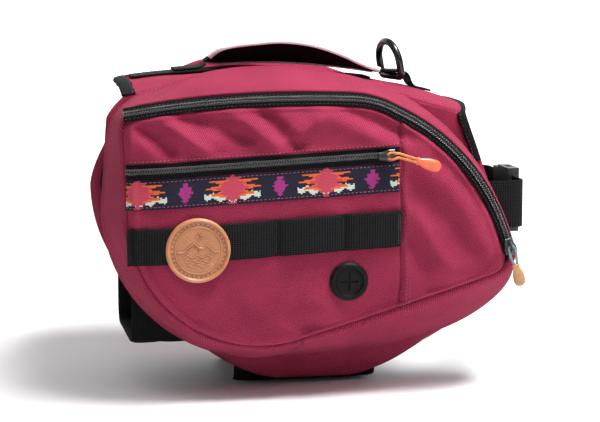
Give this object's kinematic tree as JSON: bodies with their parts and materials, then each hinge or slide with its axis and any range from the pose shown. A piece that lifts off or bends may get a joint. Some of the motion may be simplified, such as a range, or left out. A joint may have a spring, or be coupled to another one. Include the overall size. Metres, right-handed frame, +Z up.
{
  "type": "dog daypack",
  "caption": "Fabric saddle daypack for a dog, with a zipped pouch on each side, a grab handle, a leash ring, and chest and belly straps.",
  "frame": {"origin": "middle of the footprint, at the floor the pack stands on", "axes": "+X towards the dog's head, +Y towards its left side, +Z up"},
  "size_m": [0.3274, 0.2604, 0.2561],
  "materials": {
    "berry_canvas": "woven canvas, matt",
    "black_webbing": "ribbed polyester webbing",
    "black_binding": "grosgrain",
    "black_handle": "smooth webbing",
    "black_lining": "padded mesh",
    "jacquard_ribbon": "jacquard",
    "zip_tape": "woven tape with a nylon coil",
    "zip_hardware": "black enamel",
    "orange_cord": "braided cord",
    "orange_rubber": "moulded, satin",
    "teal_cord": "braided cord",
    "tan_rubber": "moulded, satin",
    "tan_leather": "embossed, satin",
    "black_rubber": "moulded",
    "reflective_piping": "reflective",
    "black_steel": "black nickel, worn",
    "buckle_plastic": "fine grain"
  },
  "bodies": {
    "pack": {"right_front_panel": "berry_canvas", "right_gusset": "berry_canvas", "right_side_panel": "berry_canvas", "right_side_lining": "black_lining", "right_main_zip": "zip_tape", "right_pocket_zip": "zip_tape", "right_pocket_ribbon": "jacquard_ribbon", "right_gear_webbing": "black_webbing", "left_front_panel": "berry_canvas", "left_gusset": "berry_canvas", "left_side_panel": "berry_canvas", "left_side_lining": "black_lining", "left_main_zip": "zip_tape", "left_pocket_zip": "zip_tape", "left_pocket_ribbon": "jacquard_ribbon", "left_gear_webbing": "black_webbing", "leather_badge": "tan_leather", "cable_port": "black_rubber", "spine_panel": "berry_canvas", "spine_pad": "black_lining", "spine_webbing": "black_webbing", "rear_binding": "black_binding", "front_binding": "black_binding", "handle_rear_tab": "black_webbing", "handle_front_tab": "black_webbing", "right_chest_webbing": "black_webbing", "left_chest_webbing": "black_webbing", "chest_buckle_socket": "buckle_plastic", "right_belly_wing": "black_lining", "left_belly_wing": "black_lining", "right_belly_webbing": "black_webbing", "left_belly_webbing": "black_webbing", "belly_buckle_socket": "buckle_plastic", "girth_pad": "black_lining"},
    "handle": {"handle_strap": "black_handle", "handle_piping_near": "reflective_piping", "handle_piping_far": "reflective_piping"},
    "ring": {"leash_ring": "black_steel"},
    "chest_plug": {"chest_buckle_plug": "buckle_plastic"},
    "belly_plug": {"belly_buckle_plug": "buckle_plastic"},
    "right_main_zip_slider": {"right_main_slider": "zip_hardware"},
    "right_main_zip_pull": {"right_main_pull_cord": "teal_cord", "right_main_pull_grip": "tan_rubber"},
    "right_pocket_zip_slider": {"right_pocket_slider": "zip_hardware"},
    "right_pocket_zip_pull": {"right_pocket_pull_cord": "orange_cord", "right_pocket_pull_grip": "orange_rubber"},
    "left_main_zip_slider": {"left_main_slider": "zip_hardware"},
    "left_main_zip_pull": {"left_main_pull_cord": "teal_cord", "left_main_pull_grip": "tan_rubber"},
    "left_pocket_zip_slider": {"left_pocket_slider": "zip_hardware"},
    "left_pocket_zip_pull": {"left_pocket_pull_cord": "orange_cord", "left_pocket_pull_grip": "orange_rubber"}
  },
  "joints": [
    {"name": "right_main_zip_run", "type": "hinge", "parent": "pack", "child": "right_main_zip_slider", "pos_m": [-0.02075, -0.1156, 0.068], "axis": [0, -1, 0], "range_deg": [0, 48]},
    {"name": "right_main_pull_swing", "type": "hinge", "parent": "right_main_zip_slider", "child": "right_main_zip_pull", "pos_m": [0.12813, -0.1196, 0.10929], "axis": [-0.9636, 0, -0.2672], "range_deg": [0, 120]},
    {"name": "right_pocket_zip_run", "type": "slide", "parent": "pack", "child": "right_pocket_zip_slider", "axis": [-0.9988, 0, -0.0499], "range_m": [0, 0.155]},
    {"name": "right_pocket_pull_swing", "type": "hinge", "parent": "right_pocket_zip_slider", "child": "right_pocket_zip_pull", "pos_m": [0.03425, -0.1271, 0.17815], "axis": [0.0499, 0, -0.9988], "range_deg": [0, 150]},
    {"name": "left_main_zip_run", "type": "hinge", "parent": "pack", "child": "left_main_zip_slider", "pos_m": [-0.02075, 0.1156, 0.068], "axis": [0, -1, 0], "range_deg": [0, 48]},
    {"name": "left_main_pull_swing", "type": "hinge", "parent": "left_main_zip_slider", "child": "left_main_zip_pull", "pos_m": [0.12813, 0.1196, 0.10929], "axis": [0.9636, 0, 0.2672], "range_deg": [0, 120]},
    {"name": "left_pocket_zip_run", "type": "slide", "parent": "pack", "child": "left_pocket_zip_slider", "axis": [-0.9988, 0, -0.0499], "range_m": [0, 0.155]},
    {"name": "left_pocket_pull_swing", "type": "hinge", "parent": "left_pocket_zip_slider", "child": "left_pocket_zip_pull", "pos_m": [0.03425, 0.1271, 0.17815], "axis": [-0.0499, 0, 0.9988], "range_deg": [0, 150]},
    {"name": "handle_lean", "type": "hinge", "parent": "pack", "child": "handle", "pos_m": [-0.07875, 0, 0.23833], "axis": [0.9978, 0, -0.0659], "range_deg": [0, 15]},
    {"name": "ring_swing", "type": "hinge", "parent": "pack", "child": "ring", "pos_m": [0.06725, 0, 0.226], "axis": [-0.2588, 0.9659, 0], "range_deg": [-25, 50]},
    {"name": "chest_release", "type": "slide", "parent": "pack", "child": "chest_plug", "axis": [0, 1, 0], "range_m": [0, 0.017]},
    {"name": "belly_release", "type": "slide", "parent": "pack", "child": "belly_plug", "axis": [0, 1, 0], "range_m": [0, 0.017]}
  ]
}
